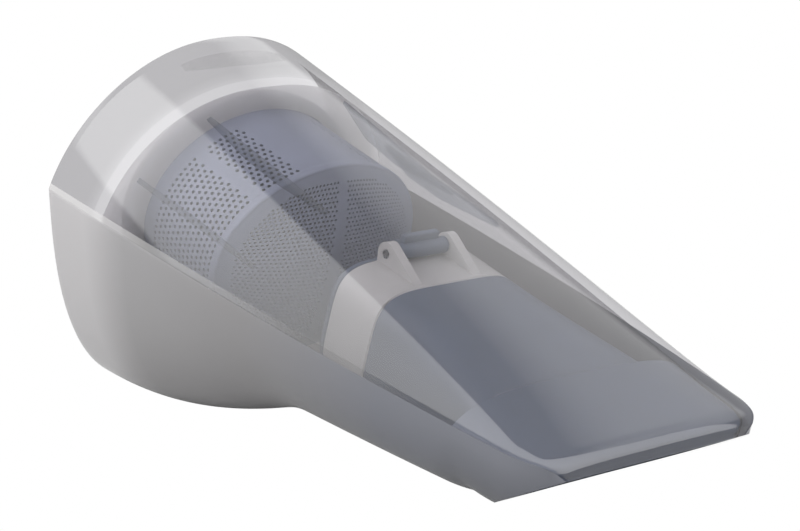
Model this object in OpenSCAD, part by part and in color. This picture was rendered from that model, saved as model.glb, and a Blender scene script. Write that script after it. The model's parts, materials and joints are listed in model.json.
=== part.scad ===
// Dust bowl of a handheld vacuum cleaner, with its inlet duct, flap valve and filter.
// The bowl is drawn along its own axis: x runs from the rear rim to the lip of the
// nozzle, z = 0 is the side crease at the rim. It is then tipped onto its belly and
// its jaw, the way it lies on a table, with the table at z = 0.

/* [Dust bowl] */
// Length from the rear rim to the lip of the nozzle
bowl_l = 200; // [180:1:220]
// Width across the rear rim
rim_w = 111; // [104:1:122]
// Height of the crown over the side crease at the rear rim
rim_crown = 44; // [40:1:50]
// Depth of the tub under the side crease at the rear rim
rim_tub = 72; // [66:1:80]
// Width across the nozzle
nozzle_w = 83; // [78:1:92]
// Height of the crown over the side crease at the nozzle
nozzle_crown = 1.5; // [1:0.5:4]
// Rise of the side crease from the rim to the nozzle
crease_rise = 16; // [12:1:20]
// Thickness of the moulded wall
wall = 2.4; // [1.8:0.2:3]
// Slope of the belly where it leaves the rim, in degrees
belly_angle = 10; // [6:1:14]
// Radius of the belly's long curve
belly_r = 160; // [140:5:200]
// Slope of the nozzle's underside, in degrees
under_angle = 12; // [9:1:14]

/* [Nozzle] */
// Distance of the lower jaw behind the lip
jaw_back = 28; // [22:1:34]
// Depth of the lower jaw under the side crease
jaw_depth = 26.5; // [23:0.5:30]
// Height of the lip's rounded front
lip_h = 5.2; // [4.4:0.2:6.4]

/* [Ledge and ribs] */
// Distance of the filter's ledge from the rim
ledge_x = 22; // [20:1:28]
// Thickness of the ledge
ledge_t = 2.4; // [1.6:0.2:3.2]
// Length of the ribs inside the crown
rib_l = 54; // [40:1:60]
// Depth of the ribs
rib_h = 4.5; // [3:0.5:6]
// Thickness of the ribs
rib_t = 1.6; // [1.2:0.2:2.4]

/* [Inlet duct] */
// Distance of the duct's rear end from the rim
duct_x = 115; // [112:1:120]
// Width of the duct at its rear end
duct_w = 52; // [46:1:56]
// Height of the duct's roof over the crease at the rim, at its rear end
duct_top = 19.4; // [18:0.2:21]
// Length of the full-width band that lines the nozzle, at its roof
band_l = 32; // [28:1:36]
// Wall of the duct
duct_wall = 1.8; // [1.4:0.2:2.4]

/* [Collar and flap] */
// Length of the collar behind the duct
collar_l = 18; // [14:1:20]
// Thickness of each ear
ear_t = 3; // [2:0.5:4]
// Clear distance between the ears
ear_gap = 19; // [17:1:21]
// Radius of the hinge pin
pin_r = 1.4; // [1.2:0.1:1.6]
// Thickness of the flap
flap_t = 2; // [1.6:0.2:2.4]

/* [Filter] */
// Width of the perforated cup
cup_w = 74; // [68:1:78]
// Height of the perforated cup
cup_h = 60; // [54:1:64]
// Depth of the cup's side in front of the ledge
cup_l = 37; // [32:1:40]
// Bulge of the cup's domed front
cup_dome = 9; // [7:0.5:11]
// Wall of the cup
cup_wall = 1.8; // [1.4:0.2:2.2]
// Width of the flanges that seat on the ledge
flange_w = 4; // [3:0.5:5]
// Thickness of each flange
flange_t = 2.2; // [1.8:0.2:2.8]
// Number of pleats round the cloth filter
pleats = 26; // [20:1:30]
// Depth of each pleat
pleat_h = 2.6; // [1.6:0.2:3.2]
// Width of the cup's holes, each of which stands for a patch of the fine perforation
hole_w = 1.8; // [1.2:0.2:2.4]

/* [Hidden] */

// Clearance between pieces that seat in each other
seat = 0.3;
// Play of a piece that turns on the pin
play = 0.08;

// Shape of the cross sections: a superellipse over the crease and another one under it
crown_n_rim = 2.26;
crown_n_nozzle = 3.65;
crown_lean = 0.18;
tub_n = 3;
tub_narrow = 0.33;
taper = 2.2;
belly_blend = 8;
// Rounding of the lip and of the nozzle's two front corners
lip_round = 5;
lip_drop = 3.5;
corner_l = 14;
corner_w = 8;

jaw_x = bowl_l - jaw_back;
jaw_z = crease_rise * jaw_x / bowl_l - jaw_depth;
lip_z = crease_rise + nozzle_crown - lip_h;
mouth_slope = (lip_z - jaw_z) / jaw_back;

function ramp(a, b, x) = let(t = min(max((x - a) / (b - a), 0), 1)) t * t * (3 - 2 * t);
function half_w(x) = rim_w / 2 - (rim_w - nozzle_w) / 2 * pow(x / bowl_l, taper);
function crease_z(x) = crease_rise * x / bowl_l;
function crown_h(x) = rim_crown + (nozzle_crown - rim_crown) * x / bowl_l;
function under_z(x) = jaw_z - (jaw_x - x) * tan(under_angle);
function belly_z(x) = x * tan(belly_angle) + x * x / (2 * belly_r) - rim_tub;
// Underside in the middle plane: the lower of belly and nozzle, with a soft corner between
function tub_z(x) =
    let(a = belly_z(x), b = under_z(x), h = max(belly_blend - abs(a - b), 0) / belly_blend)
    min(a, b) - h * h * belly_blend / 4;
// Quarter-round fall towards the lip, from 0 to 1
function fall(x, len, in) =
    let(u = min(max((x - bowl_l + len) / (len - in), 0), 1)) 1 - sqrt(1 - u * u);

// Point of the bowl's wall at station x and angle th, in millimetres inside its outer face.
// th is 0 at the left crease, 90 at the crown, 180 at the right crease, 270 at the keel.
function wall_pt(x, th, in) =
    let(t = x / bowl_l,
        up = th <= 180,
        w = half_w(x) - in - fall(x, corner_l, in) * (corner_w - in / 2),
        zc = crease_z(x) - in * t * t,
        e = up ? 2 / (crown_n_rim + (crown_n_nozzle - crown_n_rim) * t) : 2 / tub_n,
        h = up ? crown_h(x) - in + in * t * t : tub_z(x) + in - zc,
        k = pow(abs(sin(th)), e),
        side = up ? 1 - crown_lean * k : 1 - tub_narrow * (1 - t) * k)
    [x, w * side * sign(cos(th)) * pow(abs(cos(th)), e),
     zc + h * k - fall(x, lip_round, in) * lip_drop * (lip_round - in) / lip_round];

// Where the line th of the wall meets the plane of the mouth, nearer with each pass
function mouth_x(th, in, x = bowl_l, passes = 8) =
    passes == 0 ? x
                : let(z = wall_pt(min(x, bowl_l - in), th, in)[2])
                  mouth_x(th, in, bowl_l + (z - lip_z) / mouth_slope, passes - 1);

// Angles round a section
crown_steps = 28;
tub_steps = 22;
ring_angles = [for (i = [0:crown_steps - 1]) 180 * i / crown_steps,
               for (i = [0:tub_steps - 1]) 180 + 180 * i / tub_steps];

// Stations along the bowl: upright at the rim, slanting forwards into the mouth's plane
step_x = 9;
lean_x = 100;
lip_steps = 4;
mouth_step = 1.2;
body_stations = [for (x = [0:step_x:bowl_l - corner_l]) x];
lip_stations = [for (i = [1:lip_steps]) bowl_l - corner_l + corner_l * sin(90 * i / lip_steps)];
stations = concat(body_stations, lip_stations);

// Place on line th for station s: lines under the crease end earlier, at the slanted mouth
function slant_x(s, th, in, from = lean_x) =
    let(end = min(bowl_l - in, mouth_x(th, in) - mouth_step))
    s - (bowl_l - end) * pow(max(s - from, 0) / (bowl_l - from), 2);
function shell_ring(s, in) = [for (th = ring_angles) wall_pt(slant_x(s, th, in), th, in)];
// Last ring, in the plane of the mouth
function mouth_ring(in) =
    [for (th = ring_angles)
        let(x = min(bowl_l - in, mouth_x(th, in)), p = wall_pt(x, th, in))
        [x, p[1], lip_z + (x - bowl_l) * mouth_slope]];
function reversed(v) = [for (i = [len(v) - 1:-1:0]) v[i]];

// Triangles between neighbouring rings of n points, numbered from ring j
function band_faces(j, k, n) =
    [for (i = [0:n - 1])
        let(a = j * n + i, b = j * n + (i + 1) % n, c = k * n + (i + 1) % n, d = k * n + i)
        each [[a, d, c], [a, c, b]]];
// Closed skin over a list of rings that returns to its first ring
module ring_loop(rings) {
    n = len(rings[0]);
    m = len(rings);
    polyhedron(points = [for (r = rings) each r],
               faces = [for (j = [0:m - 1]) each band_faces(j, (j + 1) % m, n)], convexity = 8);
}
// Extrusion of a flat outline along x, the outline's own x and y becoming y and z
module along_x(x, l) { translate([x, 0, 0]) rotate([90, 0, 90]) linear_extrude(l) children(); }
// Round bar across the bowl, centred on its middle plane
module across(x, z, r, l) { translate([x, l / 2, z]) rotate([90, 0, 0]) cylinder(r = r, h = l, $fn = 48); }

// Oval of the perforated cup, and of the ledge's opening round it
cup_z = 0.5;
oval_points = 48;
function oval(w, h) =
    [for (i = [0:oval_points - 1])
        let(a = 360 * i / oval_points) [w / 2 * cos(a), cup_z + h / 2 * sin(a)]];
function oval_ring(x, gap) =
    [for (th = ring_angles) [x, (cup_w / 2 + gap) * cos(th), cup_z + (cup_h / 2 + gap) * sin(th)]];
module cup_outline(inset) { polygon(oval(cup_w - 2 * inset, cup_h - 2 * inset)); }

// Duct: a flattened tube with a domed roof, flaring towards the band
duct_n_roof = 5;
duct_n_floor = 3;
duct_flare = 7;
duct_drop = 2.6;
spigot_l = 6;
tube_steps = 5;
band_x = bowl_l - band_l;
duct_straight = duct_x + spigot_l + 2;
function duct_half_w(x) = duct_w / 2 + duct_flare * ramp(duct_straight, band_x, x);
function duct_roof(x) = duct_top - duct_drop * ramp(duct_straight, band_x, x);
function duct_floor(x) = under_z(max(x, duct_straight)) + wall + 2 * seat;
function duct_yz(x, th, in) =
    let(e = 2 / (th <= 180 ? duct_n_roof : duct_n_floor),
        mid = (duct_roof(x) + duct_floor(x)) / 2,
        h = (duct_roof(x) - duct_floor(x)) / 2 - in)
    [(duct_half_w(x) - in) * sign(cos(th)) * pow(abs(cos(th)), e),
     mid + h * sign(sin(th)) * pow(abs(sin(th)), e)];
function duct_ring(s, in) =
    [for (th = ring_angles)
        let(x = slant_x(s, th, in, duct_straight), p = duct_yz(x, th, in)) [x, p[0], p[1]]];
module duct_outline(inset) { polygon([for (th = ring_angles) duct_yz(duct_x, th, inset)]); }

// Hinge of the flap, over the collar's roof
collar_x = duct_x - collar_l;
hub_r = pin_r + 1;
pin_x = collar_x + hub_r + seat;
pin_z = duct_top + hub_r + 2 * seat;
ear_r = pin_r + 2;
ear_root = 1.5;
spigot_t = 1.4;
flap_inset = 0.6;
tongue_w = 13;
tongue_h = 4.5;

// Resting attitude: the steepest line from the belly to the edge of the jaw
rest_pitch = max([for (x = body_stations) if (x < jaw_x / 2) atan2(jaw_z - tub_z(x), jaw_x - x)]);
function tipped(x, z) = [x * cos(rest_pitch) + z * sin(rest_pitch),
                         z * cos(rest_pitch) - x * sin(rest_pitch)];
floor_z = tipped(jaw_x, jaw_z)[1];
rear_x = tipped(0, -rim_tub)[0];
front_x = tipped(bowl_l, crease_rise + nozzle_crown - lip_drop)[0];

module rested() {
    translate([-(rear_x + front_x) / 2, 0, -floor_z]) rotate([0, rest_pitch, 0]) children();
}

// Rib along the bowl on line th: a plate that stands in from the wall and runs out at its ends,
// with the shares of its depth at both ends and of its length that it takes to rise and to run out
rib_x = ledge_x + ledge_t + 6;
rib_lines = [17, 62, 118, 163];
rib_end = 0.15;
rib_rise = 0.33;
rib_out = 0.5;
module rib(th) {
    mid = wall_pt(rib_x + rib_l / 2, th, wall / 2);
    v = wall_pt(rib_x + rib_l / 2, th, wall) - mid;
    dir = [0, v[1], v[2]] / norm(v);
    n = 6;
    root = [for (i = [0:n]) let(x = rib_x + rib_l * i / n) [x, (wall_pt(x, th, wall / 2) - mid) * dir]];
    function depth(t) = rib_h * min(1, rib_end + t / rib_rise, rib_end + (1 - t) / rib_out);
    edge = [for (i = [n:-1:0]) root[i] + [0, wall / 2 + depth(i / n)]];
    translate([0, mid[1], mid[2]]) rotate([atan2(dir[2], dir[1]), 0, 0])
        translate([0, 0, -rib_t / 2]) linear_extrude(rib_t) polygon(concat(root, edge));
}
// Crescent under the crown near the rim, which the cleaner's latch hooks behind
catch_x = 5;
catch_t = 3;
catch_h = 3.2;
catch_end = 0.1;
catch_span = 44;
module catch() {
    n = 10;
    function yz(i, depth) =
        let(p = wall_pt(catch_x, 90 + catch_span * (i / n - 0.5), depth)) [p[1], p[2]];
    function depth(i) = catch_h * (catch_end + (1 - catch_end) * sin(180 * i / n));
    along_x(catch_x, catch_t) polygon(concat(
        [for (i = [0:n]) yz(i, wall / 2)], [for (i = [n:-1:0]) yz(i, wall + depth(i))]));
}

module dust_bowl() {
    inner = [for (s = stations) if (s > ledge_x + ledge_t + step_x / 2) s];
    inner_rear = [for (s = stations) if (s < ledge_x - step_x / 3) s];
    color([0.72, 0.71, 0.73, 0.5]) union() {
        ring_loop(concat(
            [for (s = stations) shell_ring(s, 0)],
            [mouth_ring(0), mouth_ring(wall)],
            [for (s = reversed(inner)) shell_ring(s, wall)],
            [shell_ring(ledge_x + ledge_t, wall), oval_ring(ledge_x + ledge_t, seat),
             oval_ring(ledge_x, seat), shell_ring(ledge_x, wall)],
            [for (s = reversed(inner_rear)) shell_ring(s, wall)]));
        for (th = rib_lines) rib(th);
        catch();
    }
}

module inlet_duct() {
    outer = wall + 1.5 * seat;
    inner = outer + duct_wall;
    band = [for (s = stations) if (s > band_x + 1) s];
    bend = (band_x - duct_straight) / (tube_steps + 0.5);
    tube = [duct_x, for (i = [0:tube_steps]) duct_straight + bend * i];
    color([0.27, 0.31, 0.37])
    ring_loop(concat(
        [for (s = tube) duct_ring(s, 0)],
        [shell_ring(band_x, outer)],
        [for (s = band) shell_ring(s, outer)],
        [mouth_ring(outer), mouth_ring(inner)],
        [for (s = reversed(band)) shell_ring(s, inner)],
        [for (s = reversed(tube)) duct_ring(s, duct_wall)]));
}

// Ear: round over the pin, and a gusset that slopes down to the front of the collar
module ear() {
    foot = [duct_x - 1, duct_top - ear_root / 3];
    to_foot = foot - [pin_x, pin_z];
    tangent = atan2(to_foot[1], to_foot[0]) + acos(ear_r / norm(to_foot));
    rotate([90, 0, 0]) translate([0, 0, -ear_t / 2]) linear_extrude(ear_t) polygon([
        [collar_x, duct_top - ear_root], [foot[0], duct_top - ear_root], foot,
        [pin_x + ear_r * cos(tangent), pin_z + ear_r * sin(tangent)],
        [pin_x, pin_z], [collar_x, pin_z]]);
    across(pin_x, pin_z, ear_r, ear_t);
}
module duct_collar() {
    spigot = duct_wall + seat;
    color([0.86, 0.85, 0.84]) difference() {
        union() {
            along_x(collar_x, collar_l - seat) duct_outline(0);
            along_x(collar_x, collar_l + spigot_l) duct_outline(spigot);
            for (s = [-1, 1]) translate([0, s * (ear_gap + ear_t) / 2, 0]) ear();
        }
        along_x(collar_x - 1, collar_l + spigot_l + 2) duct_outline(spigot + spigot_t);
        across(pin_x, pin_z, pin_r + play / 2, ear_gap + 4 * ear_t);
    }
}

module inlet_flap() {
    x = collar_x - seat - flap_t;
    hub_w = ear_gap - 2 * seat;
    color([0.25, 0.29, 0.36]) difference() {
        union() {
            along_x(x, flap_t) duct_outline(flap_inset);
            translate([x, -tongue_w / 2, duct_top - flap_t])
                cube([flap_t, tongue_w, pin_z - duct_top + flap_t + hub_r / 2]);
            translate([x, -tongue_w / 2, pin_z - hub_r / 2]) cube([pin_x - x, tongue_w, hub_r]);
            across(pin_x, pin_z, hub_r, hub_w);
            translate([pin_x - flap_t, -tongue_w / 2, pin_z]) cube([flap_t, tongue_w, tongue_h]);
        }
        across(pin_x, pin_z, pin_r + play, 2 * hub_w);
    }
}

module flap_pin() { color([0.3, 0.3, 0.33]) across(pin_x, pin_z, pin_r, ear_gap + 2 * ear_t); }

cup_tip = ledge_x + cup_l + cup_dome;
dome_r = (cup_w * cup_w / 4 + cup_dome * cup_dome) / (2 * cup_dome);
module cup_solid(x, inset) {
    intersection() {
        along_x(x, cup_tip - x) cup_outline(inset);
        translate([cup_tip - dome_r, 0, cup_z]) sphere(r = dome_r - inset, $fn = 96);
    }
}
// Six-sided holes through the cup: staggered rings round both flanks, and rows in the dome
flank_rings = 4;
flank_holes = 10;
flank_from = 34;
flank_span = 110;
dome_pitch = 8.5;
dome_share = 0.8;
module hole(l) { cylinder(d = hole_w, h = l, center = true, $fn = 6); }
module flank_perforation() {
    pitch = (cup_l - 3 * cup_wall) / (flank_rings + 1);
    step = flank_span / flank_holes;
    for (side = [0, 1], j = [1:flank_rings], i = [0:flank_holes - 1])
        let(a = flank_from - step * (i + 0.5 * (j % 2)),
            b = side == 0 ? a : 180 - a,
            p = [cup_w / 2 * cos(b), cup_h / 2 * sin(b)])
        translate([ledge_x + ledge_t + pitch * j, p[0], cup_z + p[1]])
            rotate([atan2(cup_w * sin(b), cup_h * cos(b)), 0, 0]) rotate([90, 0, 0]) hole(4 * cup_wall);
}
module dome_perforation() {
    rows = floor(cup_h / dome_pitch / 2);
    columns = ceil(cup_w / dome_pitch / 2);
    for (j = [-rows:rows], i = [-columns:columns])
        let(y = dome_pitch * (i + 0.5 * (abs(j) % 2)), z = dome_pitch * j)
        if (norm([2 * y / cup_w, 2 * z / cup_h]) < dome_share)
            translate([cup_tip - cup_dome / 2, y, cup_z + z]) rotate([0, 90, 0]) hole(2 * cup_dome);
}
module pre_filter() {
    x = ledge_x - seat - flange_t;
    color([0.42, 0.46, 0.53]) difference() {
        union() {
            cup_solid(x, 0);
            along_x(x, flange_t) cup_outline(-flange_w);
        }
        cup_solid(x - 1, cup_wall);
        flank_perforation();
        dome_perforation();
    }
}

// Inner filter: a flat ring behind the cup's flange, which covers the ends of the folds
frame_x = ledge_x - 2 * seat - 2 * flange_t;
frame_inset = 0.5;
cloth_t = 1.2;
cloth_gap = 6;
cloth_side = cup_wall + 2.2;
cloth_x = frame_x + flange_t + seat;
cloth_end = ledge_x + cup_l - cloth_gap;
module filter_frame() {
    color([0.8, 0.8, 0.8]) difference() {
        along_x(frame_x, flange_t) cup_outline(frame_inset - flange_w);
        along_x(frame_x - 1, flange_t + 2) cup_outline(cloth_side + pleat_h + cloth_t);
    }
}

module pleat_outline(inset) {
    polygon([for (i = [0:2 * pleats - 1])
        let(a = i * 180 / pleats, d = inset + pleat_h * (i % 2))
        [(cup_w / 2 - d) * cos(a), cup_z + (cup_h / 2 - d) * sin(a)]]);
}
module filter_cloth() {
    color([0.78, 0.79, 0.83]) difference() {
        along_x(cloth_x, cloth_end - cloth_x) pleat_outline(cloth_side);
        along_x(cloth_x - 1, cloth_end - cloth_x + 1 - cloth_t) pleat_outline(cloth_side + cloth_t);
    }
}

rested() dust_bowl();
rested() inlet_duct();
rested() duct_collar();
rested() inlet_flap();
rested() flap_pin();
rested() pre_filter();
rested() filter_frame();
rested() filter_cloth();
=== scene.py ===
"""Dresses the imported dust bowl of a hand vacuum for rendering.

The bowl is worked out along its own axis: x runs from the rear rim to the lip of the
nozzle, and z = 0 is the side crease at the rim. Form.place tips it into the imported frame.
Every surface is a numpy grid, and everything is in metres.
"""

import json
import math

import bpy
import numpy as np
from mathutils import Matrix


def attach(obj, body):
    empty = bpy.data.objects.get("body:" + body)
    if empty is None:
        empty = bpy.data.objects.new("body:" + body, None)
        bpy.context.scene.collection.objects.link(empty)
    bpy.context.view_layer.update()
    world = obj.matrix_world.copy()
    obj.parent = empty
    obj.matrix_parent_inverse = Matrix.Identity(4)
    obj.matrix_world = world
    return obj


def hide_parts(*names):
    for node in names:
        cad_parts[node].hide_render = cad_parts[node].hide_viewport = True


bl_info = {
    "name": "Hand vacuum dust bowl",
    "version": (1, 0, 0),
    "blender": (4, 5, 0),
    "location": "3D View > Sidebar > Dust Bowl",
    "description": "Builds a clear dust bowl with its duct, flap valve and cup filter",
    "category": "Object",
}

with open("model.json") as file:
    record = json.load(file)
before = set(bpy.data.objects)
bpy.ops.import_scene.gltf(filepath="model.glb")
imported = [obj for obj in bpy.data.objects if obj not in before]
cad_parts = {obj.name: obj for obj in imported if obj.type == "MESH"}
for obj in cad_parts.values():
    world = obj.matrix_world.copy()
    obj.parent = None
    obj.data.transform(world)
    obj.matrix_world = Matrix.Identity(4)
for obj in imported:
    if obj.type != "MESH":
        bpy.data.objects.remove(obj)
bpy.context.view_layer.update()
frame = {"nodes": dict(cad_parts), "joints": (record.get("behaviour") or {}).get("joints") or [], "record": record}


def size(name, description, default):
    """A length that the user may change, in metres."""
    return bpy.props.FloatProperty(
        name=name, description=description, default=default, unit="LENGTH", precision=4
    )


def slope(name, description, degrees):
    """An angle that the user may change."""
    return bpy.props.FloatProperty(
        name=name, description=description, default=math.radians(degrees), subtype="ANGLE"
    )


def colour(name, description, default):
    """A linear colour that the user may change."""
    return bpy.props.FloatVectorProperty(
        name=name, description=description, default=default, subtype="COLOR", size=3, min=0, max=1
    )


class BowlSizes(bpy.types.PropertyGroup):
    """Sizes of the moulded bowl."""

    bowl_l: size("Length", "From the rear rim to the lip of the nozzle", 0.2)
    rim_w: size("Rim width", "Width across the rear rim", 0.111)
    rim_crown: size("Rim crown", "Height of the crown over the crease at the rim", 0.044)
    rim_tub: size("Rim tub", "Depth of the tub under the crease at the rim", 0.072)
    nozzle_w: size("Nozzle width", "Width across the nozzle", 0.083)
    nozzle_crown: size("Nozzle crown", "Height of the crown over the crease there", 0.0015)
    crease_rise: size("Crease rise", "Rise of the side crease to the nozzle", 0.016)
    wall: size("Wall", "Thickness of the moulded wall", 0.0024)
    belly_angle: slope("Belly slope", "Slope of the belly where it leaves the rim", 10)
    belly_r: size("Belly radius", "Radius of the belly's long curve", 0.16)
    under_angle: slope("Underside slope", "Slope of the nozzle's underside", 12)
    jaw_back: size("Jaw distance", "Distance of the lower jaw behind the lip", 0.028)
    jaw_depth: size("Jaw depth", "Depth of the lower jaw under the crease", 0.0265)
    lip_h: size("Lip height", "Height of the lip's rounded front", 0.0052)
    ledge_x: size("Ledge place", "Distance of the filter's ledge from the rim", 0.022)
    ledge_t: size("Ledge thickness", "Thickness of the ledge", 0.0024)
    rib_l: size("Rib length", "Length of the ribs inside the crown", 0.054)
    rib_h: size("Rib depth", "Depth of the ribs", 0.0045)
    rib_t: size("Rib thickness", "Thickness of the ribs", 0.0016)


class InnerSizes(bpy.types.PropertyGroup):
    """Sizes of the duct, the valve and the filter."""

    duct_x: size("Duct place", "Distance of the duct's rear end from the rim", 0.115)
    duct_w: size("Duct width", "Width of the duct at its rear end", 0.052)
    duct_top: size("Duct height", "Height of the duct's roof over the crease", 0.0194)
    band_l: size("Band length", "Length of the band that lines the nozzle", 0.032)
    duct_wall: size("Duct wall", "Thickness of the duct's wall", 0.0018)
    collar_l: size("Collar length", "Length of the collar behind the duct", 0.018)
    ear_t: size("Ear thickness", "Thickness of each ear", 0.003)
    ear_gap: size("Ear gap", "Clear distance between the ears", 0.019)
    pin_r: size("Pin radius", "Radius of the hinge pin", 0.0014)
    flap_t: size("Flap thickness", "Thickness of the flap", 0.002)
    cup_w: size("Cup width", "Width of the perforated cup", 0.074)
    cup_h: size("Cup height", "Height of the perforated cup", 0.06)
    cup_l: size("Cup depth", "Depth of the cup's side in front of the ledge", 0.037)
    cup_dome: size("Cup dome", "Bulge of the cup's domed front", 0.009)
    cup_wall: size("Cup wall", "Wall of the cup", 0.0018)
    flange_w: size("Flange width", "Width of the flanges on the ledge", 0.004)
    flange_t: size("Flange thickness", "Thickness of each flange", 0.0022)
    pleat_h: size("Pleat depth", "Depth of each pleat", 0.0026)
    hole_pitch: size("Hole pitch", "Distance between the cup's fine holes", 0.00195)
    pleats: bpy.props.IntProperty(name="Pleats", description="Pleats of the cloth", default=26)


class Finishes(bpy.types.PropertyGroup):
    """Colours of the mouldings and the cloth."""

    smoke: colour("Smoke", "Tint of the clear upper shell", (0.8, 0.795, 0.81))
    frost: colour("Frost", "Grey of the frosted lower shell", (0.46, 0.45, 0.455))
    navy: colour("Navy", "Blue of the duct and the flap", (0.094, 0.116, 0.165))
    milk: colour("Milk", "Pale tone of the collar", (0.74, 0.73, 0.715))
    blue: colour("Blue grey", "Tone of the perforated cup", (0.235, 0.26, 0.34))
    cloth: colour("Cloth", "Tone of the pleated cloth", (0.46, 0.475, 0.51))
    grey: colour("Grey", "Tone of the filter's frame", (0.45, 0.45, 0.46))


def ramp(low, high, x):
    """Smooth step: 3 t^2 - 2 t^3, with t running from 0 at low to 1 at high."""
    t = np.clip((x - low) / (high - low), 0, 1)
    return t * t * (3 - 2 * t)


def power(value, exponent):
    """Signed power: the sign of value times |value| ^ exponent."""
    return np.sign(value) * np.abs(value) ** exponent


class Form:
    """The bowl's sizes and what follows from them, along the bowl's own axis."""

    steps = 80
    seat = 0.0003
    crown_n_rim = 2.26
    crown_n_nozzle = 3.65
    crown_lean = 0.18
    tub_n = 3.0
    tub_narrow = 0.33
    taper = 2.2
    belly_blend = 0.008
    lip_round = 0.005
    lip_drop = 0.0035
    corner_l = 0.014
    corner_w = 0.008
    mouth_gap = 0.0012
    corner_back = 0.001
    heel_l = 0.010
    heel_h = 0.00135
    lean_x = 0.1
    cup_z = 0.0005
    duct_n_roof = 5.0
    duct_n_floor = 3.0
    duct_flare = 0.007
    duct_drop = 0.0026
    duct_lead = 0.002
    spigot_l = 0.006
    tongue_w = 0.013
    tongue_h = 0.0045
    hub_wall = 0.001
    cloth_t = 0.0012
    cloth_room = 0.0022
    cloth_gap = 0.006

    def __init__(self, scene):
        for group in (scene.bowl_sizes, scene.inner_sizes):
            for key in type(group).__annotations__:
                setattr(self, key, getattr(group, key))
        self.jaw_x = self.bowl_l - self.jaw_back
        self.jaw_z = self.crease_rise * self.jaw_x / self.bowl_l - self.jaw_depth
        self.lip_z = self.crease_rise + self.nozzle_crown - self.lip_h
        self.mouth_slope = (self.lip_z - self.jaw_z) / self.jaw_back
        self.band_x = self.bowl_l - self.band_l
        self.duct_straight = self.duct_x + self.spigot_l + self.duct_lead
        self.collar_x = self.duct_x - self.collar_l
        self.hub_r = self.pin_r + self.hub_wall
        self.pin_x = self.collar_x + self.hub_r + self.seat
        self.pin_z = self.duct_top + self.hub_r + 2 * self.seat
        self.cup_tip = self.ledge_x + self.cup_l + self.cup_dome
        self.dome_r = (self.cup_w**2 / 4 + self.cup_dome**2) / (2 * self.cup_dome)
        self.frame_x = self.ledge_x - 2 * self.seat - 2 * self.flange_t
        self.cloth_end = self.ledge_x + self.cup_l - self.cloth_gap
        self.cloth_side = self.cup_wall + self.cloth_room
        joints = {joint["name"]: joint for joint in frame["joints"]}
        back = joints["pre_filter_slide"]["axis"]
        hinge = joints["flap_hinge"]["pos_m"]
        self.cos, self.sin = -back[0], back[2]
        self.shift_x = hinge[0] - self.pin_x * self.cos - self.pin_z * self.sin
        self.shift_z = hinge[2] - self.pin_z * self.cos + self.pin_x * self.sin

    def place(self, points):
        """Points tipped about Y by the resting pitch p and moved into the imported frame.

        x' = x cos p + z sin p + shift, and z' = z cos p - x sin p + shift.
        """
        x, y, z = np.moveaxis(np.asarray(points, float), -1, 0)
        forward = x * self.cos + z * self.sin + self.shift_x
        upward = z * self.cos - x * self.sin + self.shift_z
        return np.stack([forward, y, upward], -1)

    def stations(self, first):
        """Even steps to the nozzle's corners, then steps that follow the lip's round."""
        corner = self.bowl_l - self.corner_l
        lip = corner + self.corner_l * np.sin(np.linspace(0, np.pi / 2, 17)[1:])
        return np.concatenate([np.linspace(first, corner, self.steps), lip])

    def half_w(self, x):
        """Half width: the rim's, less a share of the taper that grows as (x / length) ^ 2.2."""
        return self.rim_w / 2 - (self.rim_w - self.nozzle_w) / 2 * (x / self.bowl_l) ** self.taper

    def tub_z(self, x):
        """Underside in the middle: the lower of the belly's parabola and the nozzle's line."""
        belly = x * math.tan(self.belly_angle) + x * x / (2 * self.belly_r) - self.rim_tub
        under = self.under_z(x)
        near = np.maximum(self.belly_blend - np.abs(belly - under), 0) / self.belly_blend
        return np.minimum(belly, under) - near * near * self.belly_blend / 4

    def under_z(self, x):
        """Underside of the nozzle, a line that rises forwards to the jaw."""
        return self.jaw_z - (self.jaw_x - x) * math.tan(self.under_angle)

    def fall(self, x, length, inset):
        """Quarter-round fall towards the lip: 1 - sqrt(1 - u^2), u from 0 to 1 over length."""
        u = np.clip((x - self.bowl_l + length) / (length - inset), 0, 1)
        return 1 - np.sqrt(1 - u * u)

    def wall_pt(self, x, th, inset):
        """Wall at station x and angle th, an inset inside the outer face.

        Half superellipses over and under the crease: y = w |cos th| ^ (2 / n) and
        z = h |sin th| ^ (2 / n), with w leaning in as |z| grows.
        """
        x, th, inset = np.broadcast_arrays(*(np.asarray(v, float) for v in (x, th, inset)))
        t = x / self.bowl_l
        up = np.sin(th) > -1e-9
        w = self.half_w(x) - inset - self.fall(x, self.corner_l, inset) * (self.corner_w - inset / 2)
        crease = self.crease_rise * t - inset * t * t
        n_up = self.crown_n_rim + (self.crown_n_nozzle - self.crown_n_rim) * t
        e = np.where(up, 2 / n_up, 2 / self.tub_n)
        crown = self.rim_crown + (self.nozzle_crown - self.rim_crown) * t
        h = np.where(up, crown - inset + inset * t * t, self.tub_z(x) + inset - crease)
        k = np.abs(np.sin(th)) ** e
        side = np.where(up, 1 - self.crown_lean * k, 1 - self.tub_narrow * (1 - t) * k)
        y = w * side * power(np.cos(th), e)
        share = (self.lip_round - inset) / self.lip_round
        z = crease + h * k - self.fall(x, self.lip_round, inset) * self.lip_drop * share
        return np.stack([x, y, z + self.heel(x, th)], -1)

    def heel(self, x, th):
        """Lift that rounds the jaw's heel: height (1 - |x - jaw| / length)^2 |sin th|^(2/3)."""
        near = np.maximum(1 - np.abs(x - self.jaw_x) / self.heel_l, 0)
        return self.heel_h * near**2 * np.maximum(-np.sin(th), 0) ** (2 / self.tub_n)

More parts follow.
